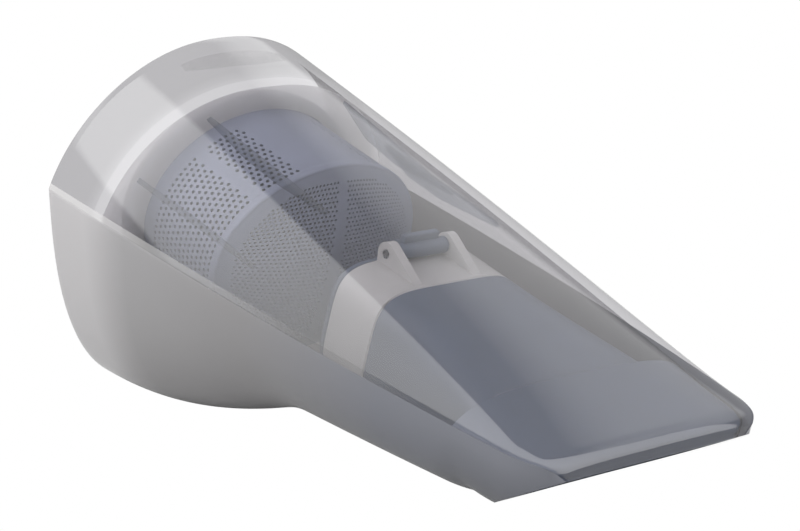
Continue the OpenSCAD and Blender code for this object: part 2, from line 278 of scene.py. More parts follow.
    def mouth_x(self, th, inset):
        """Where line th meets the mouth's plane z = lip + slope (x - length), by iteration.

        Lines under the crease stop a little short of the lip, so the corner stays whole.
        """
        x = np.full(np.shape(th), self.bowl_l)
        for _ in range(8):
            near = np.minimum(x, self.bowl_l - inset)
            z = self.wall_pt(near, th, inset)[..., 2] - self.heel(near, th)
            x = self.bowl_l + (z - self.lip_z) / self.mouth_slope
        return np.where(np.sin(th) < -1e-6, np.minimum(x, self.bowl_l - self.corner_back), x)

    def slant_x(self, s, th, inset, start):
        """Station s moved back by (length - end) ((s - start) / (length - start)) ^ 2."""
        end = np.minimum(self.bowl_l - inset, self.mouth_x(th, inset) - self.mouth_gap)
        return s - (self.bowl_l - end) * (np.maximum(s - start, 0) / (self.bowl_l - start)) ** 2

    def shell_ring(self, s, th, inset):
        """Ring of the wall at station s, slanted towards the mouth."""
        return self.wall_pt(self.slant_x(s, th, inset, self.lean_x), th, inset)

    def mouth_ring(self, th, inset):
        """Ring in the plane of the mouth."""
        x = np.minimum(self.bowl_l - inset, self.mouth_x(th, inset))
        ring = self.wall_pt(x, th, inset)
        ring[..., 2] = self.lip_z + (x - self.bowl_l) * self.mouth_slope + self.heel(x, th)
        return ring

    def oval(self, a, inset):
        """Cup's outline: y = (w / 2 - inset) cos a, z = z0 + (h / 2 - inset) sin a."""
        y = (self.cup_w / 2 - inset) * np.cos(a)
        z = self.cup_z + (self.cup_h / 2 - inset) * np.sin(a)
        return np.stack([y, z], -1)

    def dome_x(self, yz, inset):
        """Front of the cup: x = tip - R + sqrt((R - inset)^2 - y^2 - (z - z0)^2)."""
        r2 = yz[..., 0] ** 2 + (yz[..., 1] - self.cup_z) ** 2
        return self.cup_tip - self.dome_r + np.sqrt((self.dome_r - inset) ** 2 - r2)

    def duct_yz(self, x, th, inset):
        """Duct's section: superellipses of exponent 5 over and 3 under its middle height."""
        flare = ramp(self.duct_straight, self.band_x, x)
        half = self.duct_w / 2 + self.duct_flare * flare
        roof = self.duct_top - self.duct_drop * flare
        floor = self.under_z(np.maximum(x, self.duct_straight)) + self.wall + 2 * self.seat
        e = np.where(np.sin(th) > -1e-9, 2 / self.duct_n_roof, 2 / self.duct_n_floor)
        y = (half - inset) * power(np.cos(th), e)
        z = (roof + floor) / 2 + ((roof - floor) / 2 - inset) * power(np.sin(th), e)
        return np.stack([y, z], -1)

    def duct_ring(self, s, th, inset):
        """Ring of the duct's tube at station s."""
        x = self.slant_x(s, th, inset, self.duct_straight)
        return at_station(x, self.duct_yz(x, th, inset))


def at_station(x, yz):
    """Points (y, z) of a section with x put before them: one value, or one for each point."""
    return np.insert(yz, 0, x, axis=-1)


def ring_angles(n):
    """n angles round a section, closer together at the creases: tan th = tan(p) ^ 1.5."""
    p = np.arange(n) * 2 * np.pi / n
    return np.arctan2(power(np.sin(p), 1.5), power(np.cos(p), 1.5))


def grid(points, close_rings=True, close_path=False):
    """Quads between neighbouring rings of a (rings, points, 3) array."""
    m, n = points.shape[:2]
    j = np.arange(m if close_path else m - 1)[:, None]
    i = np.arange(n if close_rings else n - 1)[None, :]
    k, h = (j + 1) % m, (i + 1) % n
    quads = np.stack([j * n + i, j * n + h, k * n + h, k * n + i], -1)
    return points.reshape(-1, 3), [quads.reshape(-1, 4)]


def capped(points):
    """Rings as in grid, with one flat face over the first and one over the last."""
    verts, faces = grid(points)
    m, n = points.shape[:2]
    first = np.arange(n)[::-1][None, :]
    last = ((m - 1) * n + np.arange(n))[None, :]
    return verts, faces + [first, last]


def outward(verts, faces):
    """Faces of a closed skin, turned round if its signed volume, sum a . (b x c) / 6, is negative."""
    total = 0.0
    for group in faces:
        a = verts[group[:, 0]]
        for k in range(1, group.shape[1] - 1):
            cross = np.cross(verts[group[:, k]], verts[group[:, k + 1]])
            total += float(np.sum(a * cross))
    return faces if total > 0 else [group[:, ::-1] for group in faces]


def thicken(outer, inner, faces):
    """Closed wall between two skins of like faces; open edges get a quad across the wall."""
    n = len(outer)
    sides = [np.stack([group, np.roll(group, -1, axis=1)], -1) for group in faces]
    edges = np.concatenate([side.reshape(-1, 2) for side in sides])
    forward = edges[:, 0] * n + edges[:, 1]
    backward = edges[:, 1] * n + edges[:, 0]
    a, b = edges[~np.isin(forward, backward)].T
    walls = np.stack([b, a, a + n, b + n], -1)
    groups = list(faces) + [group[:, ::-1] + n for group in faces] + [walls]
    return np.concatenate([outer, inner]), groups


def add_mesh(name, shape, parts, finishes, sharp=40):
    """Object made of closed parts, each (verts, faces) or (verts, faces, finish numbers)."""
    verts, loops, totals, slots, offset = [], [], [], [], 0
    for part_verts, part_faces, *finish in parts:
        part_faces = outward(part_verts, part_faces)
        verts.append(shape.place(part_verts))
        for group in part_faces:
            loops.append((group + offset).ravel())
            totals.append(np.full(len(group), group.shape[1]))
        count = sum(len(group) for group in part_faces)
        slots.append(np.broadcast_to(finish[0] if finish else 0, count))
        offset += len(part_verts)
    verts, loops = np.concatenate(verts), np.concatenate(loops)
    totals, slots = np.concatenate(totals), np.concatenate(slots)
    mesh = bpy.data.meshes.new(name)
    mesh.vertices.add(len(verts))
    mesh.vertices.foreach_set("co", verts.astype(np.float32).ravel())
    mesh.loops.add(len(loops))
    mesh.loops.foreach_set("vertex_index", loops.astype(np.int32))
    mesh.polygons.add(len(totals))
    starts = np.concatenate([[0], np.cumsum(totals)[:-1]])
    mesh.polygons.foreach_set("loop_start", starts.astype(np.int32))
    mesh.polygons.foreach_set("material_index", slots.astype(np.int32))
    for finish in finishes:
        mesh.materials.append(finish)
    mesh.update(calc_edges=True)
    mesh.validate()
    mesh.shade_smooth()
    mesh.set_sharp_from_angle(angle=math.radians(sharp))
    piece = bpy.data.objects.new(name, mesh)
    bpy.context.scene.collection.objects.link(piece)
    return piece


def stand_for(piece, node):
    """The piece rides on its node's body and takes the node's place."""
    body = next(b for b, nodes in frame["record"]["behaviour"]["bodies"].items() if node in nodes)
    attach(piece, body)
    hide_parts(node)


class Finish:
    """Node tree of one material or world, with short calls for the nodes that they use."""

    def __init__(self, name, kind="materials", place="Object"):
        self.block = getattr(bpy.data, kind).new(name)
        self.block.use_nodes = True
        self.tree = self.block.node_tree
        self.tree.nodes.clear()
        self.place = self.node("ShaderNodeTexCoord").outputs[place]

    def node(self, kind, *ordered, operation=None, **named):
        """Node with values or links in its inputs, first by order and then by name.

        An underscore in a name stands for a space.
        """
        node = self.tree.nodes.new(kind)
        if operation:
            node.operation = operation
        keys = [key.replace("_", " ") for key in named]
        for key, value in (*enumerate(ordered), *zip(keys, named.values())):
            if isinstance(value, bpy.types.NodeSocket):
                self.tree.links.new(value, node.inputs[key])
            else:
                node.inputs[key].default_value = value
        return node

    def first(self, *kind_and_values, **named):
        """First output of a new node."""
        return self.node(*kind_and_values, **named).outputs[0]

    def noise(self, scale, detail=3.0, distortion=0.0):
        """Cloudy value from 0 to 1 in object coordinates."""
        wave = {"Scale": scale, "Detail": detail, "Distortion": distortion}
        return self.first("ShaderNodeTexNoise", Vector=self.place, **wave)

    def spread(self, value, low, high, start=0.0, end=1.0):
        """Value from start to end stretched to run from low to high."""
        return self.first("ShaderNodeMapRange", value, start, end, low, high)

    def stops(self, value, places, tints):
        """Colour that runs through tints at the places from 0 to 1."""
        node = self.node("ShaderNodeValToRGB", value)
        marks = node.color_ramp.elements
        while len(marks) < len(places):
            marks.new(0.5)
        for mark, place, tint in zip(marks, places, tints):
            mark.position = place
            mark.color = (*tint, 1)
        return node.outputs["Color"]

    def shades(self, value, dark, light):
        """Colour between dark at 0.3 and light at 0.7."""
        return self.stops(value, (0.3, 0.7), (dark, light))

    def front(self, share):
        """A share on the side that faces out, and nothing on the side that faces into the wall."""
        behind = self.node("ShaderNodeNewGeometry").outputs["Backfacing"]
        faces_out = self.first("ShaderNodeMath", behind, 0.5, operation="LESS_THAN")
        return self.first("ShaderNodeMath", faces_out, share, operation="MULTIPLY")

    def along(self, way, start, end, low=0.0, high=1.0):
        """Value that runs from low to high while place . way goes from start to end."""
        dot = self.node("ShaderNodeVectorMath", self.place, way, operation="DOT_PRODUCT")
        return self.spread(dot.outputs["Value"], low, high, start, end)

    def bump(self, height, strength, distance):
        """Normal from a height; distance is in metres."""
        return self.first("ShaderNodeBump", Height=height, Strength=strength, Distance=distance)

    def mix(self, share, first, second):
        """First shader, with a share of the second."""
        return self.first("ShaderNodeMixShader", share, first, second)

    def ray(self, kind):
        """1 for rays of this kind, and 0 for the others."""
        return self.node("ShaderNodeLightPath").outputs[kind]

    def done(self, surface, output="ShaderNodeOutputMaterial"):
        """Material or world with this surface."""
        self.node(output, surface)
        return self.block


def scaled(tint, factor):
    """Colour made lighter or darker."""
    return tuple(min(1.0, channel * factor) for channel in tint)


def clear_plastic(name, tint, haze, milk, shine=1.0, from_inside=1.0):
    """Smoky clear moulding: tinted see-through, a little milky haze, and a Fresnel gloss.

    tint is a colour, or tint(finish, factor) that gives one; haze is a share or haze(finish).
    Haze and gloss belong to the side that faces out, so each wall shows them once. The
    share of the gloss is shine times Fresnel. A wall that is seen from inside lets
    through from_inside times the tint.
    """
    f = Finish(name)
    flow = f.bump(f.noise(18.0, 2.0), 0.2, 0.0003)
    smoke = tint(f, 1.0) if callable(tint) else (*tint, 1)
    see = f.first("ShaderNodeBsdfTransparent", Color=smoke)
    if from_inside < 1:
        deep = f.first("ShaderNodeBsdfTransparent", Color=tint(f, from_inside))
        see = f.mix(f.front(1.0), see, deep)
    lit = f.first("ShaderNodeBsdfDiffuse", Color=(*milk, 1))
    glow = f.first("ShaderNodeBsdfTranslucent", Color=(*milk, 1))
    cloudy = haze(f) if callable(haze) else f.spread(f.noise(9.0), haze * 0.9, haze * 1.1)
    body = f.mix(f.front(cloudy), see, f.mix(0.5, lit, glow))
    gloss = f.first("ShaderNodeBsdfGlossy", Color=(1, 1, 1, 1), Roughness=0.03, Normal=flow)
    edge = f.first("ShaderNodeFresnel", IOR=1.58, Normal=flow)
    return f.done(f.mix(f.front(f.spread(edge, 0.0, shine)), body, gloss))


def moulded(name, tint, rough, coat=0.0):
    """Moulded plastic: slow shade changes, fine grain and uneven roughness."""
    f = Finish(name)
    surface = f.first(
        "ShaderNodeBsdfPrincipled",
        Base_Color=f.shades(f.noise(35.0, 4.0), scaled(tint, 0.93), scaled(tint, 1.07)),
        Roughness=f.spread(f.noise(60.0), rough - 0.05, rough + 0.05),
        Normal=f.bump(f.noise(1800.0, 2.0), 0.06, 0.00003),
        Coat_Weight=coat,
        Coat_Roughness=0.12,
    )
    return f.done(surface)


def milky_plastic(name, skin_of, light_through, rough, lamp_share=0.0):
    """Pale translucent moulding: diffuse in front, light from behind, and a soft gloss.

    skin_of(finish) gives the colour; lamp_share is how much lamp light passes straight on.
    """
    f = Finish(name)
    skin = skin_of(f)
    front = f.first("ShaderNodeBsdfDiffuse", Color=skin)
    behind = f.first("ShaderNodeBsdfTranslucent", Color=skin)
    gloss = f.first("ShaderNodeBsdfGlossy", Color=(1, 1, 1, 1), Roughness=rough)
    edge = f.first("ShaderNodeFresnel", IOR=1.5)
    surface = f.mix(f.front(edge), f.mix(light_through, front, behind), gloss)
    if lamp_share:
        passed = f.spread(f.ray("Is Shadow Ray"), 0.0, lamp_share)
        surface = f.mix(passed, surface, f.first("ShaderNodeBsdfTransparent"))
    return f.done(surface)


def woven_cloth(name, tint):
    """Non-woven filter cloth: felted fibres as stretched noise, and sheen."""
    f = Finish(name)
    fibres = f.noise(1500.0, 5.0, 1.5)
    surface = f.first(
        "ShaderNodeBsdfPrincipled",
        Base_Color=f.shades(fibres, scaled(tint, 0.82), scaled(tint, 1.12)),
        Roughness=0.92,
        Normal=f.bump(fibres, 0.6, 0.0002),
        Sheen_Weight=0.3,
    )
    return f.done(surface)


def drawn_steel(name):
    """Drawn wire: bright metal with fine marks."""
    f = Finish(name)
    marks = f.noise(900.0, 2.0)
    surface = f.first(
        "ShaderNodeBsdfPrincipled",
        Base_Color=f.shades(marks, (0.5, 0.5, 0.52), (0.62, 0.62, 0.64)),
        Roughness=f.spread(marks, 0.22, 0.34),
        Metallic=1.0,
    )
    return f.done(surface)


class BOWL_OT_shell(bpy.types.Operator):
    """Make the moulded bowl: clear over the side crease and frosted under it"""

    bl_idname = "bowl.shell"
    bl_label = "Dust Bowl"

    around = 288
    # Width, in points round the bowl, of the painted highlight just above the crease.
    strip = 4
    edge = 0.0007
    ledge_steps = 7
    ledge_gap = 0.0006
    rib_gap = 0.006
    catch_x = (0.005, 0.008)
    catch_h = 0.0032
    # Angles round the bowl, in degrees.
    rib_angles = (17, 62, 118, 163)
    catch_from = 68
    catch_sweep = 44
    # Finish numbers, in the order of the list in execute.
    clear, frosted, ribbed, latch, creased, inside, shelf = range(7)

    def skin(self, s):
        """Closed skin: rounded rim, outer face, mouth, inner face, and the ledge with its oval."""
        th = ring_angles(self.around)
        edge = self.edge
        turn = np.linspace(0, np.pi / 2, 5)
        outer = [(edge * (1 - np.cos(t)), edge * (1 - np.sin(t))) for t in turn]
        inner = [(edge * (1 - np.sin(t)), s.wall - edge * (1 - np.cos(t))) for t in turn]
        ledge_end = s.ledge_x + s.ledge_t
        rings = [s.wall_pt(x, th, inset) for x, inset in outer]
        rings += [s.shell_ring(x, th, 0) for x in s.stations(edge)[1:]]
        rings += [s.mouth_ring(th, inset) for inset in np.linspace(0, s.wall, 4)]
        outer_rings = len(rings) - 1
        back = s.stations(ledge_end + self.ledge_gap)[::-1]
        rings += [s.shell_ring(x, th, s.wall) for x in back]
        a = np.arctan2(np.sin(th) / s.cup_h, np.cos(th) / s.cup_w)
        ledge = slice(len(rings), len(rings) + 2 * self.ledge_steps)
        for x in (ledge_end, s.ledge_x):
            wall_ring = s.wall_pt(x, th, s.wall)
            hole = at_station(x, s.oval(a, -s.seat))
            shares = np.linspace(0, 1, self.ledge_steps)
            pair = [wall_ring + (hole - wall_ring) * share for share in shares]
            rings += pair if x == ledge_end else pair[::-1]
        rings += [s.wall_pt(x, th, s.wall) for x in np.linspace(s.ledge_x, edge, 12)[1:-1]]
        rings += [s.wall_pt(x, th, inset) for x, inset in inner]
        points = np.stack(rings)
        verts, faces = grid(points, close_path=True)
        line = np.arange(self.around)
        near = np.minimum(line, self.around // 2 - 1 - line)
        slots = np.full((len(points), self.around), self.inside)
        # The lower outer half takes the frosted finish, whose grey carries painted light and shade along the bowl.
        slots[:outer_rings] = np.where(np.sin(th + 1e-6) < 0, self.frosted, self.clear)
        # A band just above the crease takes a milky haze: a painted highlight of the rounded crease.
        slots[:outer_rings, (near >= 0) & (near < self.strip)] = self.creased
        # The ledge takes a pale milky haze: painted light for the light that comes in through the frosted tub.
        slots[ledge] = self.shelf
        return verts, faces, slots.ravel()

    def rib(self, s, th):
        """Rib on line th: depth = height min(1, 0.15 + 3 t, 0.15 + 2 (1 - t)), t from 0 to 1."""
        start = s.ledge_x + s.ledge_t + self.rib_gap
        t = np.linspace(0, 1, 24)
        x = start + s.rib_l * t
        rise = np.minimum(1, np.minimum(0.15 + 3 * t, 0.15 + 2 * (1 - t)))
        mid = s.wall_pt(start + s.rib_l / 2, th, s.wall)
        way = mid - s.wall_pt(start + s.rib_l / 2, th, s.wall / 2)
        way = way / np.linalg.norm(way)
        side = np.cross([1.0, 0, 0], way) * s.rib_t / 2
        height = (s.wall_pt(x, th, s.wall * 0.9) - mid) @ way
        root = mid + np.outer(height, way)
        root[:, 0] = x
        depth = (s.rib_h * rise + s.wall * 0.1)[:, None] * way
        tip = root + depth
        points = np.stack([root + side, root - side, tip - side * 0.7, tip + side * 0.7], 1)
        return (*capped(points), self.ribbed)

    def catch(self, s):
        """Crescent behind the rim: its depth follows half a sine wave."""
        t = np.linspace(0, 1, 33)
        th = np.radians(self.catch_from + self.catch_sweep * t)
        depth = s.wall + self.catch_h * (0.1 + 0.9 * np.sin(np.pi * t))
        rear, front = self.catch_x
        points = [
            s.wall_pt(rear, th, s.wall * 0.9),
            s.wall_pt(front, th, s.wall * 0.9),
            s.wall_pt(front, th, depth),
            s.wall_pt(rear, th, depth),
        ]
        return (*capped(np.stack(points, 1)), self.latch)

    def execute(self, context):
        s, looks = Form(context.scene), context.scene.finishes
        parts = [self.skin(s), self.catch(s)]
        parts += [self.rib(s, math.radians(a)) for a in self.rib_angles]
        start = s.shift_x * s.cos - s.shift_z * s.sin
        axis = ((s.cos, 0, -s.sin), start, start + s.bowl_l)

        def frost(f):
            """Frosted grey with painted light and shade along the bowl: painted lighter at the open rim, painted
            darker over the filter, and painted darker and bluer over the duct.
            """
            bluer = scaled(np.array(looks.frost) * (0.97, 1.03, 1.16), 1)
            tints = [scaled(looks.frost, share) for share in (1.06, 1.08, 0.72, 0.55)]
            tints += [scaled(bluer, share) for share in (0.38, 0.34)]
            return f.stops(f.along(*axis), (0, 0.09, 0.19, 0.45, 0.72, 1), tints)

        def smoke(f, share):
            """Smokier at the rim behind the ledge than over the filter and the duct."""
            tints = [scaled(looks.smoke, share * part) for part in (0.86, 0.86, 1, 1)]
            return f.stops(f.along(*axis), (0, 0.09, 0.12, 1), tints)

        def highlight_fading(f):
            """Haze of the painted highlight above the crease: half at the rim, and none near the nozzle."""
            return f.along(*axis, 0.55, -0.15)

        finishes = [
            clear_plastic("bowl_clear", smoke, 0.06, looks.milk),
            # Frosted finish: painted lighter at the rim and painted darker towards the nozzle, for the light and
            # shade that the parts behind the wall would give.
            milky_plastic("bowl_frosted", frost, 0.4, 0.3, 0.3),
            clear_plastic("bowl_rib", (0.7, 0.72, 0.76), 0.0, looks.milk, 0.3),
            clear_plastic("bowl_catch", (0.95, 0.95, 0.95), 0.03, looks.milk, 0.5),
            # Painted highlight: a milky haze on the band above the crease, fading towards the nozzle.
            clear_plastic("bowl_strip", looks.smoke, highlight_fading, looks.milk, 0.6),
            clear_plastic("bowl_inside", smoke, 0.04, looks.milk, 0.3, 0.76),
            # Painted light: the ledge's pale haze, lighter than the milk, stands in for light that comes in
            # through the frosted tub.
            clear_plastic("bowl_ledge", looks.smoke, 0.72, scaled(looks.milk, 1.25), 0.3),
        ]
        piece = add_mesh("bowl_shell", s, parts, finishes)
        stand_for(piece, "dust_bowl")
        return {"FINISHED"}


class BOWL_OT_duct(bpy.types.Operator):
    """Make the navy duct that lines the nozzle"""

    bl_idname = "bowl.duct"
    bl_label = "Inlet Duct"

    flare_gap = 0.004
    band_gap = 0.0002

    def execute(self, context):
        s, looks = Form(context.scene), context.scene.finishes
        th = ring_angles(240)
        outer = s.wall + 1.5 * s.seat
        inner = outer + s.duct_wall
        straight = np.linspace(s.duct_x, s.duct_straight, 4)
        flare = np.linspace(s.duct_straight, s.band_x - self.flare_gap, 40)[1:]
        tube = np.concatenate([straight, flare])
        band = s.stations(s.band_x + self.band_gap)
        band = band[band > s.band_x]
        rings = [s.duct_ring(x, th, 0) for x in tube]
        rings += [s.shell_ring(x, th, outer) for x in band]
        rings += [s.mouth_ring(th, inset) for inset in np.linspace(outer, inner, 3)]
        rings += [s.shell_ring(x, th, inner) for x in band[::-1]]
        rings += [s.duct_ring(x, th, s.duct_wall) for x in tube[::-1]]
        finish = moulded("duct_navy", looks.navy, 0.38, coat=0.1)
        piece = add_mesh("duct_tube", s, [grid(np.stack(rings), close_path=True)], [finish])
        stand_for(piece, "inlet_duct")
        return {"FINISHED"}


def duct_rings(s, profile, n):
    """Outline of the duct's rear end, n points round, at each (x, inset) of a profile."""
    th = ring_angles(n)
    return np.stack([at_station(x, s.duct_yz(s.duct_x, th, inset)) for x, inset in profile])


def plate(outline, low, high):
    """Flat plate across the bowl: an (n, 2) outline in x and z between two values of y."""
    rings = [np.insert(outline, 1, y, axis=1) for y in (low, high)]
    return capped(np.stack(rings))


def bar(x, z, radius, length, n=48):
    """Round bar across the bowl, centred on its middle plane."""
    a = np.arange(n) * 2 * np.pi / n
    outline = np.stack([x + radius * np.cos(a), z + radius * np.sin(a)], -1)
    return plate(outline, -length / 2, length / 2)


class BOWL_OT_collar(bpy.types.Operator):
    """Make the pale collar behind the duct, with the two ears of the hinge"""

    bl_idname = "bowl.collar"
    bl_label = "Duct Collar"

    edge = 0.0004
    spigot_wall = 0.0014
    ear_round = 0.002
    ear_root = 0.0015
    ear_back = 0.001

    def ear(self, s, side):
        """Ear: upright behind, round over the pin, then a gusset tangent to the round.

        The tangent from the foot touches the round at atan2(dz, dx) + acos(r / distance).
        """
        r, root = s.pin_r + self.ear_round, self.ear_root
        foot = np.array([s.duct_x - self.ear_back, s.duct_top - root / 3])
        way = foot - (s.pin_x, s.pin_z)
        touch = math.atan2(way[1], way[0]) + math.acos(r / np.hypot(*way))
        a = np.linspace(np.pi, touch, 16)
        dome = np.stack([s.pin_x + r * np.cos(a), s.pin_z + r * np.sin(a)], -1)
        base = [foot, [foot[0], s.duct_top - root], [s.collar_x, s.duct_top - root]]
        middle = side * (s.ear_gap + s.ear_t) / 2
        outline = np.concatenate([dome, base])
        return plate(outline, middle - s.ear_t / 2, middle + s.ear_t / 2)

    def execute(self, context):
        s, looks = Form(context.scene), context.scene.finishes
        spigot = s.duct_wall + s.seat
        bore = spigot + self.spigot_wall
        end = s.duct_x - s.seat
        tip = s.duct_x + s.spigot_l
        c = self.edge
        profile = [
            (s.collar_x, c),
            (s.collar_x + c, 0),
            (end - c, 0),
            (end, c),
            (end, spigot),
            (tip - c, spigot),
            (tip, spigot + c),
            (tip, bore),
            (s.collar_x + c, bore),
            (s.collar_x, bore - c),
        ]
        ring = grid(duct_rings(s, profile, 240), close_path=True)
        parts = [ring, self.ear(s, 1), self.ear(s, -1)]

        def pale(f):
            """Milk that changes slowly in shade."""
            return f.shades(f.noise(40.0), scaled(looks.milk, 0.96), scaled(looks.milk, 1.04))

        finish = milky_plastic("collar_pale", pale, 0.45, 0.2)
        piece = add_mesh("collar_ring", s, parts, [finish])
        stand_for(piece, "duct_collar")
        return {"FINISHED"}


class BOWL_OT_flap(bpy.types.Operator):
    """Make the flap valve with its hub and tongue, and dress the pin"""

    bl_idname = "bowl.flap"
    bl_label = "Inlet Flap and Pin"

    edge = 0.0004
    margin = 0.0006
    arm_root = 0.002
    edge_round = 0.0003

    def execute(self, context):
        s, looks = Form(context.scene), context.scene.finishes
        front = s.collar_x - s.seat
        x = front - s.flap_t
        c, margin = self.edge, self.margin
        profile = [(x, margin + c), (x + c, margin), (front - c, margin), (front, margin + c)]
        half = s.tongue_w / 2
        foot, tip_z = s.duct_top - self.arm_root, s.pin_z + s.tongue_h
        low, high, back = s.pin_z - s.hub_r / 2, s.pin_z + s.hub_r / 2, s.pin_x - s.flap_t
        arm = [(x, foot), (front, foot), (front, low), (s.pin_x, low)]
        arm += [(s.pin_x, tip_z), (back, tip_z), (back, high), (x, high)]
        parts = [
            capped(duct_rings(s, profile, 160)),
            plate(np.array(arm), -half, half),
            bar(s.pin_x, s.pin_z, s.hub_r, s.ear_gap - 2 * s.seat),
        ]
        piece = add_mesh("flap_plate", s, parts, [moulded("flap_navy", looks.navy, 0.42)])
        bevel = piece.modifiers.new("edge_round", "BEVEL")
        bevel.width = self.edge_round
        bevel.segments = 2
        bevel.limit_method = "ANGLE"
        bevel.angle_limit = math.radians(50)
        stand_for(piece, "inlet_flap")
        pin = frame["nodes"]["flap_pin"]
        pin.data.materials.clear()
        pin.data.materials.append(drawn_steel("pin_steel"))
        return {"FINISHED"}


def oval_ring(s, start, end, out, into, r, shoulder=False):
    """Solid ring round the oval: a section between two stations and two insets, rounded by r.

    The stations of a shoulder count from the edge of the cup's dome.
    """
    a = np.arange(240) * 2 * np.pi / 240
    base = s.dome_x(s.oval(a, 0), 0) if shoulder else 0.0
    turn = np.radians(np.arange(0, 90.1, 22.5))
    corners = [(end - r, out + r, 0), (start + r, out + r, 90)]
    corners += [(start + r, into - r, 180), (end - r, into - r, 270)]
    rings = []
    for x, inset, first in corners:
        for t in math.radians(first) + turn:
            yz = s.oval(a, inset - r * math.sin(t))
            rings.append(at_station(base + x + r * math.cos(t), yz))
    return grid(np.stack(rings), close_path=True)


class BOWL_OT_pre_filter(bpy.types.Operator):
    """Make the perforated cup with its fine staggered holes"""

    bl_idname = "bowl.pre_filter"
    bl_label = "Pre-filter"

    hole_share = 0.3
    row_share = 0.87
    dome_pitch = 0.8
    dome_rim = 0.88
    dome_bar = 0.05
    rear_band = 0.0075
    front_band = 0.002
    flange_round = 0.00066
    shoulder = (-0.003, 0.0003, -0.0002, 0.0026, 0.00084)
    # Angles from the top of the cup, in degrees: place and half width, then two limits.
    side_bar = (45, 3.5)
    crown_bar = 20
    floor_bar = 174

    def cells(self, columns, rows, wraps, is_open):
        """Brick pattern of cells on the unit square, each with eight corners and a round hole.

        Odd rows are shifted by half a cell. Returns places (n, 2) and faces; shut cells are
        one eight-sided face, and the half cells at the ends of odd rows five-sided ones.
        """
        w, h = 1 / columns, 1 / rows
        j, i = np.meshgrid(np.arange(rows), np.arange(columns), indexing="ij")
        shift = (j % 2) * 0.5
        centre = np.stack([(i + 0.5 + shift) * w, (j + 0.5) * h], -1).reshape(-1, 2)
        if not wraps:
            centre = centre[centre[:, 0] < 1 - 0.25 * w]
        corner = np.array([[-1, -1], [0, -1], [1, -1], [1, 0], [1, 1], [0, 1], [-1, 1], [-1, 0]]) / 2
        angle = np.radians(np.arange(-135, 225, 45))
        circle = np.stack([np.cos(angle), np.sin(angle)], -1) * self.hole_share
        rim = centre[:, None] + corner * (w, h)
        opened = is_open(centre)
        hole = centre[opened][:, None] + circle * (w, h)
        halves = []
        if not wraps:
            row = np.arange(1, rows, 2)[:, None]
            half = np.array([[0, 0], [0.5, 0], [0.5, 0.5], [0.5, 1], [0, 1]])
            left = np.stack([half[:, 0] * w + 0 * row, (half[:, 1] + row) * h], -1)
            halves = [left, ((1, 0) + left * (-1, 1))[:, ::-1]]
        every = np.concatenate([rim.reshape(-1, 2)] + [q.reshape(-1, 2) for q in halves])
        key = np.round(every / (w / 2, h / 2) * 2).astype(int)
        if wraps:
            key[:, 0] %= 4 * columns
        _, index, inverse = np.unique(key, axis=0, return_index=True, return_inverse=True)
        inverse = inverse.reshape(-1)
        places = every[index]
        rim_ids = inverse[: rim.size // 2].reshape(-1, 8)
        hole_ids = len(places) + np.arange(len(hole) * 8).reshape(-1, 8)
        a, b = rim_ids[opened], np.roll(rim_ids[opened], -1, axis=1)
        c, d = np.roll(hole_ids, -1, axis=1), hole_ids
        faces = [np.stack([a, b, c, d], -1).reshape(-1, 4), rim_ids[~opened]]
        if halves:
            faces.append(inverse[rim.size // 2 :].reshape(-1, 5))
        return np.concatenate([places, hole.reshape(-1, 2)]), faces

    def side(self, s):
        """Side of the cup: u runs round the oval by arc length, v from the flange to the dome."""
        a = np.linspace(0, 2 * np.pi, 2001)
        yz = s.oval(a, 0)
        run = np.concatenate([[0], np.cumsum(np.linalg.norm(np.diff(yz, axis=0), axis=1))])
        start = s.ledge_x - s.seat - s.flange_t / 2
        columns = round(run[-1] / s.hole_pitch)
        rows = round((s.cup_l - s.cup_dome / 2) / (s.hole_pitch * self.row_share))

        def angle(u):
            """Angle of the oval where the share u of its length is covered."""
            return np.interp((u % 1.0) * run[-1], run, a)

        def is_open(centre):
            """Cells off the bars that run along the cup and off the plain bands at its ends."""
            a = angle(centre[:, 0]) - np.pi / 2
            top = np.degrees(np.abs(np.arctan2(np.sin(a), np.cos(a))))
            edge = s.cup_tip - s.cup_dome
            x = start + centre[:, 1] * (edge - start)
            place, half = self.side_bar
            bars = (np.abs(top - place) < half) | (top < self.crown_bar) | (top > self.floor_bar)
            return ~bars & (x > s.ledge_x + self.rear_band) & (x < edge - self.front_band)

        places, faces = self.cells(columns, rows, True, is_open)
        skins = []
        for inset in (0, s.cup_wall):
            yz = s.oval(angle(places[:, 0]), inset)
            end = s.dome_x(yz, inset)
            skins.append(at_station(start + places[:, 1] * (end - start), yz))
        return thicken(*skins, faces)

    def dome(self, s):
        """Front of the cup: the square u, v maps to the disc as u sqrt(1 - v^2 / 2), and so on."""
        pitch = s.hole_pitch * self.dome_pitch
        columns = round(s.cup_w / pitch)
        rows = round(s.cup_h / (pitch * self.row_share)) | 1

        def disc(places):
            """Places on the unit square as y and z on the unit disc."""
            u, v = 2 * places[:, 0] - 1, 2 * places[:, 1] - 1
            return u * np.sqrt(1 - v * v / 2), v * np.sqrt(1 - u * u / 2)

        def is_open(centre):
            """Cells inside the plain edge and off the bar down the middle."""
            y, z = disc(centre)
            return (np.hypot(y, z) < self.dome_rim) & (np.abs(y) > self.dome_bar)

        places, faces = self.cells(columns, rows, False, is_open)
        y, z = disc(places)
        skins = []
        for inset in (0, s.cup_wall):
            yz = np.stack([(s.cup_w / 2 - inset) * y, s.cup_z + (s.cup_h / 2 - inset) * z], -1)
            skins.append(at_station(s.dome_x(yz, inset), yz))
        return thicken(*skins, faces)

    def execute(self, context):
        s, looks = Form(context.scene), context.scene.finishes
        flange = s.ledge_x - s.seat - s.flange_t
        box = (flange, flange + s.flange_t, -s.flange_w, s.cup_wall)
        rings = [oval_ring(s, *box, self.flange_round), oval_ring(s, *self.shoulder, shoulder=True)]
        finish = moulded("filter_blue", looks.blue, 0.4)
        piece = add_mesh("cup_filter", s, [self.side(s), self.dome(s), *rings], [finish])
        stand_for(piece, "pre_filter")
        return {"FINISHED"}


